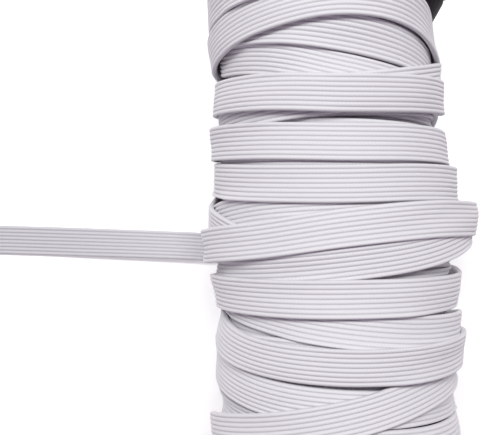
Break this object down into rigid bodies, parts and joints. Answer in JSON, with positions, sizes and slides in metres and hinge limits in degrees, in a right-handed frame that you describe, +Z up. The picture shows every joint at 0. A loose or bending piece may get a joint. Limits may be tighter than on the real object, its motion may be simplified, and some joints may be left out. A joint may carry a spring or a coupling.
{
  "type": "roll of elastic",
  "caption": "Roll of narrow white braided elastic, wound in slanting turns on a dark flared spool that lies on its side, with the loose end along the table.",
  "frame": {"origin": "middle of the small flat on which the winding rests, on the table", "axes": "+Y along the spool's axis, +Z up, -X the way the loose end leaves"},
  "size_m": [0.1081, 0.09, 0.0466],
  "materials": {
    "elastic": "white ribbed braid",
    "spool_plastic": "satin"
  },
  "bodies": {
    "root": {"spool": "spool_plastic", "wound_elastic": "elastic", "loose_end": "elastic"}
  },
  "joints": []
}
